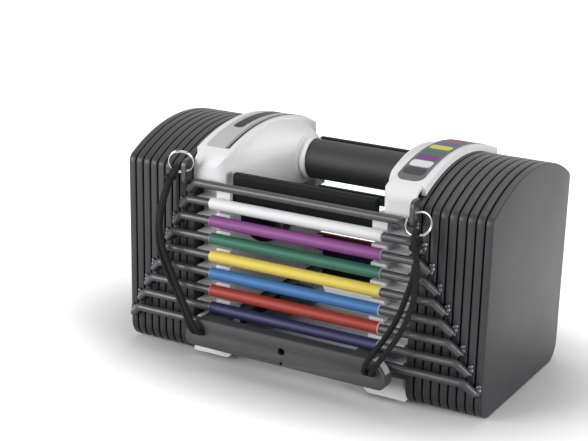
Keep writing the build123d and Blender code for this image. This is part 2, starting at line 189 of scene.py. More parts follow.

# %% [markdown]
# ## Vinyl sleeves
#
# Each rail wears a length of coloured vinyl tube, the colour that its row has on the chart.
# Extruded vinyl is smooth and softly glossy. The rims of its knife-cut ends catch the light, and
# that highlight is painted into the colour as a paler ring. The end could be a piece of its own
# with a second material. Here the painted highlight ring is found by the distance along the rail
# instead, so that one material does both. A helper reads a CAD node's box in millimetres, so
# that this and later sizes follow the frame.

# %% Sleeve colours
SLEEVE_COLOURS = {
    "sleeve_white": "#f8f8f9",
    "sleeve_purple": "#904f90",
    "sleeve_green": "#2f6a56",
    "sleeve_yellow": "#f3da60",
    "sleeve_blue": "#3f78b4",
    "sleeve_red": "#a3382e",
    "sleeve_navy": "#272a50",
    "sleeve_black": "#1f1f21",
}


def box_mm(node):
    """Low and high corner of a CAD node's box, in millimetres."""
    low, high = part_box(node)
    return low / MM, high / MM


sleeve_half = box_mm("weight_1_sleeves")[1].x
print("half a sleeve in mm:", round(sleeve_half, 2))

# %% Sleeve vinyl
# The paler band at each end of a sleeve is a painted highlight: the light that its rim catches.
RIM_HIGHLIGHT_MM = 0.7
RIM_HIGHLIGHT_SHARE = 0.45


def vinyl(name, base):
    """Smooth extruded vinyl with a painted highlight ring at each end."""
    material, tree, shader = new_material(name, base, roughness=0.48, specular=0.35)
    place = add_node(tree, "ShaderNodeTexCoord").outputs["Object"]
    along = add_node(tree, "ShaderNodeSeparateXYZ", {"Vector": place}).outputs["X"]
    distance = add_node(tree, "ShaderNodeMath", {0: along}, operation="ABSOLUTE").outputs[0]
    rim_highlight = add_node(
        tree,
        "ShaderNodeMapRange",
        {
            "Value": distance,
            "From Min": (sleeve_half - RIM_HIGHLIGHT_MM) * MM,
            "From Max": (sleeve_half - RIM_HIGHLIGHT_MM / 2) * MM,
        },
    ).outputs["Result"]
    # The paler colour at the ends is the painted highlight.
    pale = [(1 - RIM_HIGHLIGHT_SHARE) * c + RIM_HIGHLIGHT_SHARE for c in colour(base)[:3]] + [1.0]
    mix = add_node(tree, "ShaderNodeMix", {"Factor": rim_highlight}, data_type="RGBA")
    mix.inputs["A"].default_value = colour(base)
    mix.inputs["B"].default_value = pale
    tree.links.new(mix.outputs["Result"], shader.inputs["Base Color"])
    return material


sleeve_materials = {slot: vinyl("vinyl_" + slot, base) for slot, base in SLEEVE_COLOURS.items()}
print("sleeve materials:", len(sleeve_materials))

# %% [markdown]
# ## White ABS covers
#
# The covers are injection-moulded ABS. The mould has a fine satin grain, so the skin is white
# and even, with a broad, soft highlight. The grain is far too fine to draw, so it is left to
# the roughness. One roughness all over would make the large faces look like paper, and a very
# weak noise in the gloss, 30 mm wide as the melt flowed, breaks that up.

# %% Cover plastic
COVER_ROUGHNESS = 0.5
FLOW_MM = 30.0
FLOW_SPREAD = 0.07
cover_plastic, tree, shader = new_material(
    "moulded_white_abs", "#f2f1f3", COVER_ROUGHNESS, ior=1.53, specular=0.35
)
place = add_node(tree, "ShaderNodeTexCoord").outputs["Object"]
flow = add_node(tree, "ShaderNodeTexNoise", {"Vector": place, "Scale": per_mm(FLOW_MM), "Detail": 2.0})
glossy, dull = COVER_ROUGHNESS - FLOW_SPREAD, COVER_ROUGHNESS + FLOW_SPREAD
gloss = add_node(
    tree, "ShaderNodeMapRange", {"Value": flow.outputs["Fac"], "To Min": glossy, "To Max": dull}
)
tree.links.new(gloss.outputs["Result"], shader.inputs["Roughness"])
print("cover plastic:", cover_plastic.name)

# %% [markdown]
# ## Rubber and moulded nylon
#
# The grip is a thick EPDM rubber tube, matt with a slow highlight; its skin is buffed, with
# pits of about half a millimetre, drawn 1.4 mm wide so that they show. The two hand pads are a
# blacker rubber with a smoother skin. The pin is glass-filled nylon: dark grey, with a fine
# spark-eroded mould texture. The grain of these two is finer still, and drawn about 1 mm wide.
# All three are an even grain on a dull base, so one function makes them. Real displacement
# could raise the grain, but a bump is enough for it and adds no faces.

# %% Rubber and nylon


def grained(name, base, roughness, grain_mm, relief_mm, strength=0.4, metallic=0.0, specular=0.5):
    """Moulded, buffed or plated material with an even grain."""
    material, tree, shader = new_material(name, base, roughness, metallic, specular=specular)
    place = add_node(tree, "ShaderNodeTexCoord").outputs["Object"]
    grain = add_node(tree, "ShaderNodeTexNoise", {"Vector": place, "Scale": per_mm(grain_mm), "Detail": 4.0})
    relief = add_node(
        tree,
        "ShaderNodeBump",
        {"Height": grain.outputs["Fac"], "Strength": strength, "Distance": relief_mm * MM},
    )
    tree.links.new(relief.outputs["Normal"], shader.inputs["Normal"])
    return material


grip_rubber = grained("buffed_epdm_rubber", "#1f1f20", roughness=0.6, grain_mm=1.4, relief_mm=0.2)
pad_rubber = grained(
    "moulded_black_rubber", "#101011", roughness=0.6, grain_mm=1.2, relief_mm=0.06, specular=0.15
)
pin_nylon = grained("glass_filled_nylon", "#3e3e40", roughness=0.58, grain_mm=1.1, relief_mm=0.1)
print("rubber and nylon:", grip_rubber.name, pad_rubber.name, pin_nylon.name)

# %% [markdown]
# ## Bright metals
#
# The split rings are nickel-chrome plated spring wire, nearly a mirror. The weld beads are MIG
# bead that the coat runs thin over: lumpy and much shinier than the steel around them, so they
# are drawn as part metal and part paint. The handle tube and the screws are zinc-plated steel.
# Plating has an even grain too, only much shallower, so the function for moulded pieces makes it.

# %% Metals
ring_chrome = new_material("chromed_spring_wire", "#bdbcb8", roughness=0.15, metallic=1.0)[0]
weld_bead = grained(
    "coated_weld_bead", "#5a5a60", roughness=0.18, grain_mm=2.0, relief_mm=0.5, strength=0.8, metallic=0.6
)
zinc_steel = grained(
    "zinc_plated_steel", "#a2a3a5", roughness=0.35, grain_mm=2.5, relief_mm=0.03, strength=0.2, metallic=1.0
)
print("metals:", ring_chrome.name, weld_bead.name, zinc_steel.name)

# %% [markdown]
# ## Printed film
#
# The labels are vinyl film with a satin laminate. A label could be one sheet with a picture on
# it. Here each printed area is a thin piece of its own further down, so each colour is one
# plain satin material and no picture is needed.

# %% Label films
FILM_COLOURS = {
    "film_silver": "#c4c5c6",
    "film_grey": "#6c6c6e",
    "film_dark": "#3b3b3d",
    "film_black": "#161617",
    "film_white": "#ececee",
    "film_purple": "#7c3a80",
    "film_green": "#2f7058",
    "film_yellow": "#e4d65c",
    "film_blue": "#3c5f96",
    "film_red": "#9c3a34",
    "film_navy": "#3a3b63",
    "film_reflective": "#a9acb3",
}
films = {}
for name, base in FILM_COLOURS.items():
    films[name] = new_material("satin_" + name, base, roughness=0.45, specular=0.2)[0]
print("film colours:", len(films))

# %% [markdown]
# ## Braided cord
#
# The elastic cord is a rubber core in a woven polyester sheath. The sheath's strands cross at a
# slant, so two diagonal waves on the tube's own UV map make the weave: one strand is about
# 1 mm wide, drawn 1.5 mm wide so that it shows. Every strand could be a curve of its own, but
# a few dozen of them, wound along the whole cord, would cost more faces than the rest of the
# object, and all that shows is a fine cross pattern. The UV map is used because it follows the
# cord round its bends.

# %% Cord sheath
STRAND_MM = 1.5
STRANDS_AROUND = 4.0
WEAVE_STRENGTH = 0.6
WEAVE_RELIEF_MM = 0.25
# The weave's two colours are painted shade and light: darker in the hollows between strands, lighter on the
# strand tops.
SHADE_BETWEEN_STRANDS = "#060607"
LIGHT_ON_STRAND_TOPS = "#161617"


def braid(name, length_mm):
    """Woven sheath for a cord of this length, on the UV map of its tube."""
    material, tree, shader = new_material(name, "#101011", roughness=0.72, specular=0.22)
    uv = add_node(tree, "ShaderNodeTexCoord").outputs["UV"]
    split = add_node(tree, "ShaderNodeSeparateXYZ", {"Vector": uv})
    x, y = split.outputs["X"], split.outputs["Y"]
    strands = length_mm / STRAND_MM
    waves = []
    for slant in (-STRANDS_AROUND, STRANDS_AROUND):
        along = add_node(tree, "ShaderNodeMath", {0: x, 1: strands}, operation="MULTIPLY").outputs[0]
        around = add_node(tree, "ShaderNodeMath", {0: y, 1: slant}, operation="MULTIPLY").outputs[0]
        phase = add_node(tree, "ShaderNodeMath", {0: along, 1: around}, operation="ADD").outputs[0]
        turn = add_node(tree, "ShaderNodeMath", {0: phase, 1: 2 * math.pi}, operation="MULTIPLY").outputs[0]
        waves.append(add_node(tree, "ShaderNodeMath", {0: turn}, operation="SINE").outputs[0])
    weave = add_node(tree, "ShaderNodeMath", {0: waves[0], 1: waves[1]}, operation="MAXIMUM").outputs[0]
    relief = add_node(
        tree,
        "ShaderNodeBump",
        {"Height": weave, "Strength": WEAVE_STRENGTH, "Distance": WEAVE_RELIEF_MM * MM},
    )
    tree.links.new(relief.outputs["Normal"], shader.inputs["Normal"])
    # The weave's height also paints its colour: painted shade between the strands, painted light on their
    # tops.
    lift = add_node(
        tree, "ShaderNodeMapRange", {"Value": weave, "From Min": -1.0, "To Min": 0.0, "To Max": 1.0}
    )
    mix = add_node(tree, "ShaderNodeMix", {"Factor": lift.outputs["Result"]}, data_type="RGBA")
    mix.inputs["A"].default_value = colour(SHADE_BETWEEN_STRANDS)
    mix.inputs["B"].default_value = colour(LIGHT_ON_STRAND_TOPS)
    tree.links.new(mix.outputs["Result"], shader.inputs["Base Color"])
    return material


print("strand as drawn in mm:", STRAND_MM)

# %% [markdown]
# ## Finish of every CAD node
#
# The record names a material slot for each node, and this table gives each slot its finish.
# Only the material of a CAD node changes, and its mesh stays as it is. The cords' own solids
# are replaced further down, so a plain rubber is enough for them here.

# %% Paint the CAD nodes
SLOT_FINISH = {
    "plate_coat": plate_coat,
    "rail_coat": rail_coat,
    "cover_plastic": cover_plastic,
    "grip_rubber": grip_rubber,
    "tube_steel": zinc_steel,
    "pad_rubber": pad_rubber,
    "pin_plastic": pin_nylon,
    "ring_chrome": ring_chrome,
    "cord_braid": grip_rubber,
    "label_silver": films["film_silver"],
    "label_grey": films["film_grey"],
    "screw_steel": zinc_steel,
    **sleeve_materials,
}
slot_of = {row["node"]: row["material_slot"] for row in frame["record"]["subparts"]}
body_of = {node: body for body, names in frame["record"]["behaviour"]["bodies"].items() for node in names}
for name, node in nodes.items():
    node.data.materials.clear()
    node.data.materials.append(SLOT_FINISH[slot_of[name]])
print("painted:", len(nodes))

# %% [markdown]
# ## Finishing a piece
#
# Each new shape below ends in the same steps. Its bmesh becomes a mesh, and faces that meet at
# a small angle are shaded as one smooth skin, while the edges between steeper ones stay crisp.
# Stored normals that a CAD mesh brought along don't fit the new faces, so they are dropped.
# Then the piece is told which body it rides on, which slot it takes its finish from and which
# CAD nodes it stands for. One function does this, so that no step is left out anywhere.

# %% Finish a piece
SMOOTH_BELOW = math.radians(35)


def finish_piece(bm, name, material, body, stands_for=()):
    """Turn a bmesh into a smooth piece that rides on a body and takes a slot's finish."""
    mesh = bpy.data.meshes.new(name)
    bm.to_mesh(mesh)
    bm.free()
    if "custom_normal" in mesh.attributes:
        mesh.attributes.remove(mesh.attributes["custom_normal"])
    mesh.materials.append(material)
    mesh.shade_smooth()
    mesh.set_sharp_from_angle(angle=SMOOTH_BELOW)
    piece = bpy.data.objects.new(name, mesh)
    bpy.context.scene.collection.objects.link(piece)
    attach(piece, body)
    if stands_for:
        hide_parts(*stands_for)
    return piece


print("bodies to ride on:", ", ".join(sorted(set(body_of.values()))))

# %% [markdown]
# ## Rolled edges
#
# A sheared steel plate is tumbled before it is coated, and the coat rounds what is left, so each
# edge shows a thin bright line. The CAD plates have sharp edges and come as loose triangles. So
# a copy of each is merged, its flat triangles are joined to whole faces, and every sharp edge
# gets a small bevel. The copy stands in for its node. A Bevel node in the shader would look
# much the same, but a bevel in the mesh is kept in the exported model.

# %% Soften sharp edges
MERGE_WITHIN = 0.001 * MM
FLAT_BELOW = math.radians(0.5)
PLATE_EDGE_MM = 0.95


def soft_edged(node, width_mm, steps=2, angle=40):
    """A copy of a CAD node with its sharp edges rounded; it stands for that node."""
    bm = bmesh.new()
    bm.from_mesh(nodes[node].data)
    bmesh.ops.remove_doubles(bm, verts=bm.verts, dist=MERGE_WITHIN)
    bmesh.ops.dissolve_limit(bm, angle_limit=FLAT_BELOW, verts=bm.verts, edges=bm.edges)
    sharp = [e for e in bm.edges if e.is_manifold and e.calc_face_angle() > math.radians(angle)]
    bmesh.ops.bevel(
        bm,
        geom=sharp,
        affect="EDGES",
        offset=width_mm * MM,
        segments=steps,
        profile=0.5,
        material=-1,
        clamp_overlap=True,
    )
    slot = slot_of[node]
    return finish_piece(bm, node + "_finished", SLOT_FINISH[slot], body_of[node], [node])


plate_names = [name for name in nodes if name.endswith("_plate")]
plates = [soft_edged(name, PLATE_EDGE_MM, steps=3) for name in plate_names]
print("plates with rolled edges:", len(plates), "faces of the first:", len(plates[0].data.polygons))

# %% [markdown]
# ## Weld beads
#
# Each rail is bent down at its ends, and a short MIG bead fills the corner between its tip and
# the edge of the plate. A bead could be sculpted, but it is really a few drops of metal that
# froze over each other, so each one here is a cluster of small icospheres, squashed and knocked
# out of round. The dice start from a fixed number, so every run gives the same beads. One mesh
# holds all the beads of one body, because they never move apart: level 0 is the core itself,
# and only the outermost weight, the last level, has a body of its own.

# %% Places of the welds
WELD_PROUD_MM = 0.4
WELD_ABOVE_TIP_MM = 4.6


def rail_tips(level):
    """Side, face and middle of the weld at each of a level's four rail tips, in millimetres."""
    rails = "core_rails" if level == 0 else f"weight_{level}_rails"
    plate = "left_core_plate" if level == 0 else f"weight_{level}_left_plate"
    plate_low, plate_high = box_mm(plate)
    middle = -(plate_low.x + plate_high.x) / 2
    depth = plate_high.y + WELD_PROUD_MM
    height = box_mm(rails)[0].z + WELD_ABOVE_TIP_MM
    for side in (-1, 1):
        for face in (-1, 1):
            yield side, face, Vector((side * middle, face * depth, height))


print("middles of the core's welds in mm:", [tuple(round(c, 1) for c in tip[2]) for tip in rail_tips(0)])

# %% Drops of metal
# Place and radius of each drop about the middle of the weld, in millimetres.
DROPS = [
    (Vector((-0.6, 0.0, -2.5)), 2.3),
    (Vector((0.6, 0.2, 0.2)), 2.2),
    (Vector((0.7, 0.1, 3.3)), 1.8),
    (Vector((-0.9, 0.3, 2.5)), 1.6),
]
DROP_SQUASH = (0.9, 0.95, 1.15)
DROP_UNEVENNESS = 0.07
dice = random.Random(7)


def add_weld(bm, side, face, centre):
    """One cluster of drops, mirrored to its side and face."""
    for offset, radius in DROPS:
        drop = bmesh.ops.create_icosphere(bm, subdivisions=2, radius=radius * MM)["verts"]
        for vertex in drop:
            vertex.co *= 1 + dice.uniform(-DROP_UNEVENNESS, DROP_UNEVENNESS)
        place = Vector((side * offset.x, face * offset.y, offset.z))
        bmesh.ops.scale(bm, verts=drop, vec=DROP_SQUASH)
        bmesh.ops.translate(bm, verts=drop, vec=(centre + place) * MM)


print("drops in a bead:", len(DROPS))

# %% Weld beads
OUTERMOST = 8


def weld_piece(name, levels, body):
    """All the welds of some levels as one piece."""
    bm = bmesh.new()
    for level in levels:
        for side, face, centre in rail_tips(level):
            add_weld(bm, side, face, centre)
    return finish_piece(bm, name, weld_bead, body)


core_welds = weld_piece("core_weld_beads", range(OUTERMOST), "core")
outer_welds = weld_piece("outer_weld_beads", [OUTERMOST], "outer_weight")
print("weld faces:", len(core_welds.data.polygons) + len(outer_welds.data.polygons))

# %% [markdown]
# ## Labels on the crowns
#
# Both covers carry a label on their arched top. A label is a flat film that is wrapped over a
# cylinder, so it is drawn flat first: a rounded rectangle, cut across into short strips, and
# then each point is rolled round the arch by its distance from the middle. A Shrinkwrap
# modifier could press it down too, but rolling is exact here and keeps the film's true length.
# All sizes of a film are in millimetres, and the rolling turns them to metres.

# %% Flat film
FILM_CUT_MM = 2.0


def rounded_film(width, length, corner, thickness):
    """Flat rounded rectangle in millimetres, cut across into strips, with its underside at zero."""
    bm = bmesh.new()
    bmesh.ops.create_grid(bm, x_segments=1, y_segments=1, size=0.5)
    bmesh.ops.scale(bm, verts=bm.verts, vec=(width, length, 1))
    bmesh.ops.bevel(
        bm, geom=bm.verts[:], affect="VERTICES", offset=corner, segments=6, profile=0.5, material=-1
    )
    cuts = int(length / FILM_CUT_MM)
    for index in range(1, cuts):
        y = length * (index / cuts - 0.5)
        geometry = bm.verts[:] + bm.edges[:] + bm.faces[:]
        bmesh.ops.bisect_plane(bm, geom=geometry, dist=1e-5, plane_co=(0, y, 0), plane_no=(0, 1, 0))
    top = bmesh.ops.extrude_face_region(bm, geom=bm.faces[:])["geom"]
    raised = [v for v in top if isinstance(v, bmesh.types.BMVert)]
    bmesh.ops.translate(bm, verts=raised, vec=(0, 0, thickness))
    bmesh.ops.recalc_face_normals(bm, faces=bm.faces[:])
    return bm


print("a film is cut across every so many mm:", FILM_CUT_MM)

# %% Wrapped film
CROWN_RADIUS_MM = 165.0
crown_top = box_mm("left_cover")[1].z


def wrap_over_crown(bm, x, along, lift):
    """Roll a flat film round the cover's arch: along is the arc length behind the crown's top."""
    radius = CROWN_RADIUS_MM + lift
    for vertex in bm.verts:
        angle = (vertex.co.y + along) / radius
        reach = radius + vertex.co.z
        height = crown_top - CROWN_RADIUS_MM + reach * math.cos(angle)
        vertex.co = Vector((x + vertex.co.x, reach * math.sin(angle), height)) * MM


def film_piece(name, size, corner, place, lift, thickness, finish, stands_for=()):
    """A film of size (width, length) wrapped at place (x, along) on a crown."""
    bm = rounded_film(size[0], size[1], corner, thickness)
    wrap_over_crown(bm, place[0], place[1], lift)
    return finish_piece(bm, name, films[finish], "core", stands_for)


print("top of the crowns in mm:", round(crown_top, 1))

# %% [markdown]
# ## Weight chart
#
# The right label is a grey chart with one rounded box for each row of rails, in the row's
# colour. Print has next to no thickness, but two faces in one place would flicker, so each box
# is a piece 0.1 mm thick on top of the film. The chart stays bare: it has no lettering.

# %% Weight chart
FILM_LIFT = 0.1
FILM_THICKNESS = 0.26
INK_THICKNESS = 0.1
INK_LIFT = FILM_LIFT + FILM_THICKNESS
CHART_CORNER = 7.0
BOX_COLOURS = ["dark", "white", "purple", "green", "yellow", "blue", "red", "navy"]
BOX_SIZE = (16.8, 9.6)
BOX_CORNER = 3.0
BOX_INWARDS = 0.2
BOX_PITCH = 11.2
FIRST_BOX = -50.0
chart_low, chart_high = box_mm("right_weight_chart")
chart_middle = (chart_low.x + chart_high.x) / 2
film_width = chart_high.x - chart_low.x
film_length = 2 * CROWN_RADIUS_MM * math.asin(chart_high.y / CROWN_RADIUS_MM)

film_piece(
    "weight_chart_film", (film_width, film_length), CHART_CORNER, (chart_middle, 0.0),
    FILM_LIFT, FILM_THICKNESS, "film_grey", ["right_weight_chart"],
)
for index, name in enumerate(BOX_COLOURS):
    place = (chart_middle - BOX_INWARDS, FIRST_BOX + index * BOX_PITCH)
    film_piece(
        f"chart_box_{index}_{name}", BOX_SIZE, BOX_CORNER, place,
        INK_LIFT, INK_THICKNESS, "film_" + name,
    )
print("chart boxes:", len(BOX_COLOURS), "film length in mm:", round(film_length, 1))

# %% [markdown]
# ## Name label
#
# The left label is a silver film of the same size, with a black rounded strip along it. Near its
# inner edge runs a black line with a thin white stripe on it. The stripe starts halfway down in
# the black line and stands a little proud of it, so that it shows. This label stays bare too.

# %% Name label
NAME_CORNER = 3.0
STRIP_SIZE, STRIP_CORNER, STRIP_PLACE = (8.6, 62.0), 3.2, (-2.0, 1.5)
LINE_WIDTH, LINE_CORNER, LINE_INWARDS, LINE_SHORTER = 3.4, 0.4, 8.7, 1.0
STRIPE_WIDTH, STRIPE_CORNER, STRIPE_INWARDS, STRIPE_SHORTER = 0.6, 0.2, 8.1, 3.0
STRIPE_PROUD = 0.02
name_low, name_high = box_mm("left_name_label")
name_middle = (name_low.x + name_high.x) / 2

film_piece(
    "name_label_film", (film_width, film_length), NAME_CORNER, (name_middle, 0.0),
    FILM_LIFT, FILM_THICKNESS, "film_silver", ["left_name_label"],
)
film_piece(
    "name_label_strip", STRIP_SIZE, STRIP_CORNER, (name_middle + STRIP_PLACE[0], STRIP_PLACE[1]),
    INK_LIFT, INK_THICKNESS, "film_black",
)
film_piece(
    "name_label_edge_line", (LINE_WIDTH, film_length - LINE_SHORTER), LINE_CORNER,
    (name_middle + LINE_INWARDS, 0.0), INK_LIFT, INK_THICKNESS, "film_black",
)
film_piece(
    "name_label_pin_stripe", (STRIPE_WIDTH, film_length - STRIPE_SHORTER), STRIPE_CORNER,
    (name_middle + STRIPE_INWARDS, 0.0), INK_LIFT + INK_THICKNESS / 2,
    INK_THICKNESS / 2 + STRIPE_PROUD, "film_white",
)
print("middle of the name label in mm:", round(name_middle, 1))

# %% [markdown]
# ## Tubes along a line
#
# Ring wire and cord are both round bar that follows a line in space. A circle could be swept
# along the line by hand, but it has to be turned square to it at every point. A curve does that
# by itself: NURBS runs along the points, a bevel gives it the thickness, and it becomes a mesh
# with a UV map that runs along the tube.

# %% Tubes
TUBE_ROUNDNESS = 4


def tube_curve(name, route, thickness, closed, resolution):
    """NURBS curve along a route, as an object that is never shown."""
    curve = bpy.data.curves.new(name, "CURVE")
    curve.dimensions = "3D"
    spline = curve.splines.new("NURBS")
    spline.points.add(len(route) - 1)
    for point, place in zip(spline.points, route):
        point.co = (*place, 1.0)
    spline.order_u = 3
    spline.use_cyclic_u = closed
    spline.use_endpoint_u = not closed
    spline.resolution_u = resolution
    curve.bevel_depth = thickness / 2
    curve.bevel_resolution = TUBE_ROUNDNESS
    curve.use_fill_caps = not closed
    return bpy.data.objects.new(name, curve)


def tube_piece(name, route, thickness, material, closed=False, resolution=10):
    """A mesh tube along a route, smooth and with a UV map that runs along it."""
    curve = tube_curve(name + "_curve", route, thickness, closed, resolution)
    mesh = bpy.data.meshes.new_from_object(curve)
    mesh.name = name
    mesh.materials.append(material)
    mesh.shade_smooth()
    piece = bpy.data.objects.new(name, mesh)
    bpy.context.scene.collection.objects.link(piece)
    return piece


print("corners round a tube:", 4 + 2 * TUBE_ROUNDNESS)

# %% [markdown]
# ## Split rings
#
# A split ring is spring wire wound in two close turns, so that a cord can be worked on between
# them. A torus would be quicker, but the two turns show as two bright lines with a dark one
# between, so the wire follows a short helix in the plane of the CAD ring. That plane is set by
# how the ring leans out of its ear, and by how its wire passes through the ear's slot.

# %% Ring wire
RING_RADIUS_MM = 9.4
RING_WIRE_MM = 1.05
RING_PITCH_MM = 1.4
RING_TURNS = 2
STEPS_PER_TURN = 24
RING_LEAN = {"left": Vector((-0.24, -0.43, 0.87)), "right": Vector((0.61, -0.51, -0.61))}
RING_PASS = {"left": Vector((0.88, 0.33, 0.34)), "right": Vector((0.79, 0.39, 0.47))}


def ring_route(side):
    """Two turns of spring wire about the middle of the CAD ring, in its plane."""
    low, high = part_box(f"{side}_split_ring")
    centre = (low + high) / 2
    lean = RING_LEAN[side].normalized()
    normal = lean.cross(RING_PASS[side]).normalized()
    across = normal.cross(lean)
    points = []
    for step in range(RING_TURNS * STEPS_PER_TURN + 1):
        turns = step / STEPS_PER_TURN
        angle = 2 * math.pi * turns
        spoke = lean * math.cos(angle) + across * math.sin(angle)
        rise = (turns - RING_TURNS / 2) * RING_PITCH_MM
        points.append(centre + (spoke * RING_RADIUS_MM + normal * rise) * MM)
    return points


for side in ("left", "right"):
    ring = tube_piece(f"{side}_ring_wire", ring_route(side), RING_WIRE_MM * MM, ring_chrome)
    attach(ring, f"{side}_ring")
    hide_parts(f"{side}_split_ring")
print("outside of a ring in mm:", 2 * RING_RADIUS_MM + RING_WIRE_MM)

# %% [markdown]
# ## Route of the cords
#
# Each end of the pin hangs on a loop of elastic cord: up from a hole in the bar, through the
# split ring and down again. These are the corners of both routes in metres, as in the CAD
# model, so that the dressed cord lies where its solid lies.

# %% Cord routes
LEFT_CORD_ROUTE = [
    (-0.0755, -0.088, 0.0295), (-0.0755, -0.0996, 0.0297), (-0.079, -0.1008, 0.0345),
    (-0.085, -0.098, 0.0425), (-0.0945, -0.0935, 0.054), (-0.107, -0.091, 0.071),
    (-0.1145, -0.0905, 0.091), (-0.115, -0.0895, 0.113), (-0.1126, -0.0845, 0.131),
    (-0.1086, -0.0798, 0.1464), (-0.103, -0.0796, 0.1539), (-0.0992, -0.087, 0.1513),
    (-0.1048, -0.0873, 0.1438), (-0.1075, -0.09, 0.131), (-0.1105, -0.0935, 0.113),
    (-0.1085, -0.0945, 0.095), (-0.099, -0.0955, 0.075), (-0.088, -0.0975, 0.056),
    (-0.079, -0.101, 0.043), (-0.0732, -0.102, 0.0348), (-0.0705, -0.1, 0.0297),
    (-0.0705, -0.088, 0.0295),
]
RIGHT_CORD_ROUTE = [
    (0.0705, -0.088, 0.0295), (0.0705, -0.1, 0.0297), (0.073, -0.102, 0.0385), (0.079, -0.0995, 0.049),
    (0.0855, -0.096, 0.06), (0.0935, -0.0935, 0.076), (0.0995, -0.0923, 0.096), (0.1042, -0.0918, 0.113),
    (0.1035, -0.0902, 0.1291), (0.1019, -0.0843, 0.1362), (0.1019, -0.091, 0.1418),
    (0.1035, -0.097, 0.1347), (0.1085, -0.0985, 0.118), (0.108, -0.098, 0.099), (0.1035, -0.0985, 0.08),
    (0.0965, -0.0995, 0.063), (0.0875, -0.1005, 0.0485), (0.0795, -0.1018, 0.036),
    (0.0755, -0.0998, 0.0297), (0.0755, -0.088, 0.0295),
]
print("corners of the routes:", len(LEFT_CORD_ROUTE), len(RIGHT_CORD_ROUTE))

# %% [markdown]
# ## Rounded corners
#
# A limp cord never bends sharply, so the corners have to go. A free curve through them would
# swing wide in between, so every corner gets an arc instead, nearly as large as the two runs
# beside it allow. The line is then divided into even steps, which also keeps the weave even.

# %% Arcs in place of corners
BEND_SHARE = 0.45
ARC_STEPS = 12


def rounded_corner(before, here, after):
    """Arc in place of a corner, as large as the two runs beside it allow."""
    back, ahead = before - here, after - here
    reach = BEND_SHARE * min(back.length, ahead.length)
    back.normalize()
    ahead.normalize()
    half_turn = (math.pi - back.angle(ahead)) / 2
    centre = here + (back + ahead).normalized() * reach / math.sin(half_turn)
    spoke = here + back * reach - centre
    axis = spoke.cross(here + ahead * reach - centre).normalized()
    return [centre + Quaternion(axis, 2 * half_turn * i / ARC_STEPS) @ spoke for i in range(ARC_STEPS + 1)]


print("points in an arc:", ARC_STEPS + 1)

# %% Even steps along the cords
CORD_STEP_MM = 0.8


def length_of(points):
    """Length of a line of points."""
    return sum((b - a).length for a, b in zip(points, points[1:]))


def smooth_route(route):
    """Evenly spaced points along a route whose corners are rounded."""
    corners = [Vector(place) for place in route]
    line = [corners[0]]
    for before, here, after in zip(corners, corners[1:], corners[2:]):
        line.extend(rounded_corner(before, here, after))
    line.append(corners[-1])
    step = length_of(line) / round(length_of(line) / (CORD_STEP_MM * MM))
    points, to_go = [line[0]], step
    for start, end in zip(line, line[1:]):
        run, walked = (end - start).length, 0.0
        while run - walked >= to_go:
            walked += to_go
            points.append(start.lerp(end, walked / run))
            to_go = step
        to_go -= run - walked
    if (points[-1] - line[-1]).length > step / 2:
        points.append(line[-1])
    return points


cord_lines = {"left": smooth_route(LEFT_CORD_ROUTE), "right": smooth_route(RIGHT_CORD_ROUTE)}
print("points on each cord:", [len(points) for points in cord_lines.values()])

# %% [markdown]
# ## Cord hitches
#
# Each cord is tied to its ring with a hitch. A full knot is hard to build and small on the
# finished object, so one closed turn of cord round the two strands, just below the ring, stands
# for it. The turn is an oval in a level plane, wide enough to hold both strands.

# %% Cord hitches
HITCH_THICKNESS = 3.4 * MM
HITCH_HALF = (5.4 * MM, 3.0 * MM)
HITCH_POINTS = 12
# Where the two strands pass the hitch, in metres.
HITCH_STRANDS = {
    "left": (Vector((-0.1092, -0.0804, 0.144)), Vector((-0.1047, -0.0874, 0.144))),
    "right": (Vector((0.1036, -0.0901, 0.13)), Vector((0.1046, -0.0973, 0.13))),
}


def hitch_route(side):
    """The turn of cord that binds the two strands below the ring."""
    first, second = HITCH_STRANDS[side]
    along = (second - first).normalized()
    outward = along.cross(Vector((0, 0, 1))).normalized()
    centre = (first + second) / 2
    half_width, half_depth = along * HITCH_HALF[0], outward * HITCH_HALF[1]
    turn = [2 * math.pi * step / HITCH_POINTS for step in range(HITCH_POINTS)]
    return [centre + half_width * math.cos(angle) + half_depth * math.sin(angle) for angle in turn]


print("hitch outside in mm:", [round((2 * half + HITCH_THICKNESS) / MM, 1) for half in HITCH_HALF])

# %% [markdown]
# ## Elastic cords
#
# A cord has a fixed length, so the tube follows its line point by point: one tube for the whole
# loop, from the bar up through the ring and down again.

# %% Elastic cords
CORD_DIAMETER = 4.2 * MM
for side, points in cord_lines.items():
    length = length_of(points)
    sheath = braid(f"braided_polyester_{side}", length / MM)
    cord = tube_piece(f"{side}_cord", points, CORD_DIAMETER, sheath, resolution=1)
    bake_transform(cord)
    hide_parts(f"{side}_elastic_cord")
    hitch = tube_piece(f"{side}_cord_hitch", hitch_route(side), HITCH_THICKNESS, sheath, closed=True)
    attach(hitch, "core")
    print(side, "cord length in mm:", round(length / MM, 1))

# %% [markdown]
# ## Reflective patch on the pin
#
# A light patch of film wraps the rounded right shoulder of the pin's bar. It is rolled round
# the shoulder in the way that the labels are rolled over the crowns, about an axis along Y, and
# its underside sinks a little into the bar, so that no gap shows. The bar is moulded, so its
# edges get the small rounding that every mould leaves.

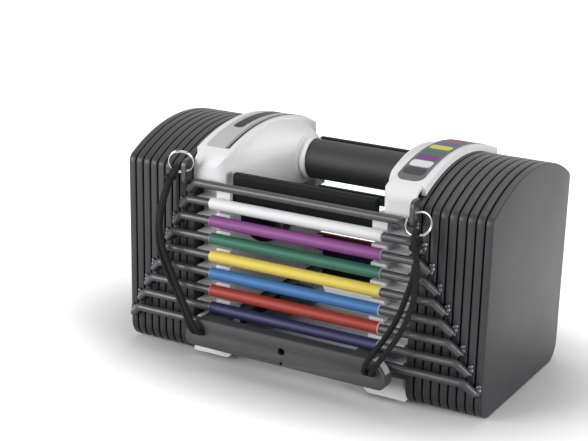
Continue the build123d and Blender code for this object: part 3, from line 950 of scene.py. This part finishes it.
# %% Pin patch
SHOULDER_RADIUS_MM = 16.0
PATCH_SIZE, PATCH_CORNER, PATCH_THICKNESS = (7.0, 15.5), 0.8, 0.25
PATCH_SINK = 0.02
PATCH_MIDDLE = math.radians(42)
PATCH_BACKWARDS = 0.6
PIN_EDGE_MM = 0.35
bar_low, bar_high = box_mm("pin_bar")
shoulder_x, shoulder_z = bar_high.x - SHOULDER_RADIUS_MM, bar_high.z - SHOULDER_RADIUS_MM
patch_y = (bar_low.y + bar_high.y) / 2 + PATCH_BACKWARDS
patch = rounded_film(*PATCH_SIZE, PATCH_CORNER, PATCH_THICKNESS)
for vertex in patch.verts:
    angle = PATCH_MIDDLE + vertex.co.y / SHOULDER_RADIUS_MM
    reach = SHOULDER_RADIUS_MM + vertex.co.z - PATCH_SINK
    x, z = shoulder_x + reach * math.sin(angle), shoulder_z + reach * math.cos(angle)
    vertex.co = Vector((x, patch_y - vertex.co.x, z)) * MM
bmesh.ops.recalc_face_normals(patch, faces=patch.faces[:])
finish_piece(patch, "pin_reflective_patch", films["film_reflective"], "selector_pin")
pin = soft_edged("pin_bar", PIN_EDGE_MM, angle=30)
print("pin faces:", len(pin.data.polygons))

# %% [markdown]
# ## What a ray sees
#
# The object stands on a plain pale sweep. The camera, a mirror and a clear surface should see
# it pale, but a white surround would also light up every gap between the plates. Blender can
# tell a ray that one of these three sent from a ray that only carries soft light. One small
# group of nodes does that, and another measures how far a point lies from the object.

# %% Ray and distance nodes


def seen_directly(tree):
    """1 for camera, mirror and transmitted rays, and 0 for the rays that carry soft light."""
    rays = add_node(tree, "ShaderNodeLightPath")
    mirrored = add_node(
        tree, "ShaderNodeMath",
        {0: rays.outputs["Is Camera Ray"], 1: rays.outputs["Is Glossy Ray"]}, operation="MAXIMUM",
    )
    return add_node(
        tree, "ShaderNodeMath",
        {0: mirrored.outputs[0], 1: rays.outputs["Is Transmission Ray"]}, operation="MAXIMUM",
    ).outputs[0]


def footprints_away(tree, half_length, half_depth):
    """Distance from the middle of the floor, where 1 is the edge of an oval round the object."""
    place = add_node(tree, "ShaderNodeTexCoord").outputs["Object"]
    scale = (1 / half_length, 1 / half_depth, 0.0)
    scaled = add_node(tree, "ShaderNodeVectorMath", {0: place, 1: scale}, operation="MULTIPLY")
    away = add_node(tree, "ShaderNodeVectorMath", {0: scaled.outputs["Vector"]}, operation="LENGTH")
    return away.outputs["Value"]


print("oval round the object in metres:", [round(2 * half, 3) for half in cad_box[1][:2]])

# %% [markdown]
# ## Floor paint
#
# Close to the object the floor is a pale grey that holds its shadow, and from there it fades to
# plain white. More lamp power could whiten it too, but that would wash out the object, so the
# floor itself glows instead, and only for the rays named above. All others meet a darker floor.

# %% Floor paint
FLOOR_PALE = "#e6e6e7"
FLOOR_BOUNCE = "#38383a"
WHITE_FROM, WHITE_FULLY = 0.9, 2.4
floor_paint, tree, shader = new_material("white_studio_floor", FLOOR_PALE, roughness=0.9, specular=0.0)
shader.inputs["Emission Color"].default_value = colour("#ffffff")
seen = seen_directly(tree)
shade = add_node(tree, "ShaderNodeMix", {"Factor": seen}, data_type="RGBA")
shade.inputs["A"].default_value = colour(FLOOR_BOUNCE)
shade.inputs["B"].default_value = colour(FLOOR_PALE)
tree.links.new(shade.outputs["Result"], shader.inputs["Base Color"])
away = footprints_away(tree, cad_box[1][0], cad_box[1][1])
fade = add_node(
    tree, "ShaderNodeMapRange", {"Value": away, "From Min": WHITE_FROM, "From Max": WHITE_FULLY},
    interpolation_type="SMOOTHSTEP",
)
glow = add_node(tree, "ShaderNodeMath", {0: fade.outputs["Result"], 1: seen}, operation="MULTIPLY")
tree.links.new(glow.outputs[0], shader.inputs["Emission Strength"])
print("the floor is white beyond", WHITE_FULLY, "times the oval")

# %% [markdown]
# ## Floor
#
# The floor is one large square, a hair below the object, so that the undersides that rest on it
# don't share its plane.

# %% Floor
FLOOR_HALF = 6.0
FLOOR_BELOW = 0.5 * MM
bm = bmesh.new()
bmesh.ops.create_grid(bm, x_segments=1, y_segments=1, size=FLOOR_HALF)
floor_mesh = bpy.data.meshes.new("studio_floor")
bm.to_mesh(floor_mesh)
bm.free()
floor_mesh.materials.append(floor_paint)
floor = bpy.data.objects.new("studio_floor", floor_mesh)
floor.location.z = -FLOOR_BELOW
bpy.context.scene.collection.objects.link(floor)
print("side of the floor in metres:", 2 * FLOOR_HALF)

# %% [markdown]
# ## Dome
#
# A dim dome all round fills the shadows, so that no gap turns fully black. The camera and
# mirrors see it as plain white. It could be a picture of a room, but a plain dome leaves the
# object free to stand in any other light later.

# %% World
DOME_STRENGTH = 0.15
world = bpy.data.worlds.new("studio_world")
bpy.context.scene.world = world
world.use_nodes = True
tree = world.node_tree
background = tree.nodes["Background"]
background.inputs["Color"].default_value = colour("#ffffff")
strength = add_node(
    tree, "ShaderNodeMapRange", {"Value": seen_directly(tree), "To Min": DOME_STRENGTH, "To Max": 1.0}
)
tree.links.new(strength.outputs["Result"], background.inputs["Strength"])
print("strength of the dome:", DOME_STRENGTH)

# %% [markdown]
# ## Lamps
#
# Three softboxes give the shape: a low key lamp at the left front draws the highlights along
# rails and plate edges, a lamp on the right lights the end plate, and one overhead keeps the
# crowns bright. A small lamp would burn hard dots into the coat, so all three are large.

# %% Softboxes
LAMP_AIM = Vector((0.0, 0.0, 0.09))


def softbox(name, place, size, power):
    """A square area lamp that faces the middle of the object."""
    lamp = bpy.data.lights.new(name, "AREA")
    lamp.size = size
    lamp.energy = power
    holder = bpy.data.objects.new(name, lamp)
    holder.location = place
    holder.rotation_euler = (LAMP_AIM - Vector(place)).to_track_quat("-Z", "Y").to_euler()
    bpy.context.scene.collection.objects.link(holder)
    return holder


softboxes = [
    softbox("key_softbox", (-0.95, -1.3, 0.55), size=0.9, power=22.0),
    softbox("side_softbox", (1.5, -0.35, 0.42), size=0.6, power=14.5),
    softbox("top_softbox", (0.0, 0.4, 1.5), size=1.0, power=6.5),
]
print("softboxes:", len(softboxes), "watts in all:", sum(lamp.data.energy for lamp in softboxes))

# %% [markdown]
# ## Camera
#
# The camera stands about a metre away, a little above the object and to the right of the pin's
# side. It could be turned by three angles, but those are hard to read, so it is set by where it
# stands, what it aims at and how far it leans. Its shift then slides the frame up a little,
# which places the object in the picture without turning the camera again.

# %% Camera
CAMERA_PLACE = Vector((0.5135, -0.9759, 0.4535))
CAMERA_AIM = Vector((0.01141, -0.09924, 0.09))
CAMERA_LEAN = math.radians(1.197)
camera_data = bpy.data.cameras.new("camera")
camera_data.sensor_width = 36.0
camera_data.lens = 90.93
camera_data.shift_y = 0.0998
camera_data.clip_start = 0.01
camera = bpy.data.objects.new("camera", camera_data)
view = CAMERA_AIM - CAMERA_PLACE
turn = view.to_track_quat("-Z", "Y") @ Quaternion((0, 0, 1), CAMERA_LEAN)
camera.matrix_world = Matrix.Translation(CAMERA_PLACE) @ turn.to_matrix().to_4x4()
bpy.context.scene.collection.objects.link(camera)
bpy.context.scene.camera = camera
bpy.context.scene.view_settings.view_transform = "Standard"
azimuth = math.degrees(math.atan2(-view.x, view.y))
elevation = math.degrees(math.asin(-view.z / view.length))
print("camera azimuth and elevation in degrees:", round(azimuth, 1), round(elevation, 1))
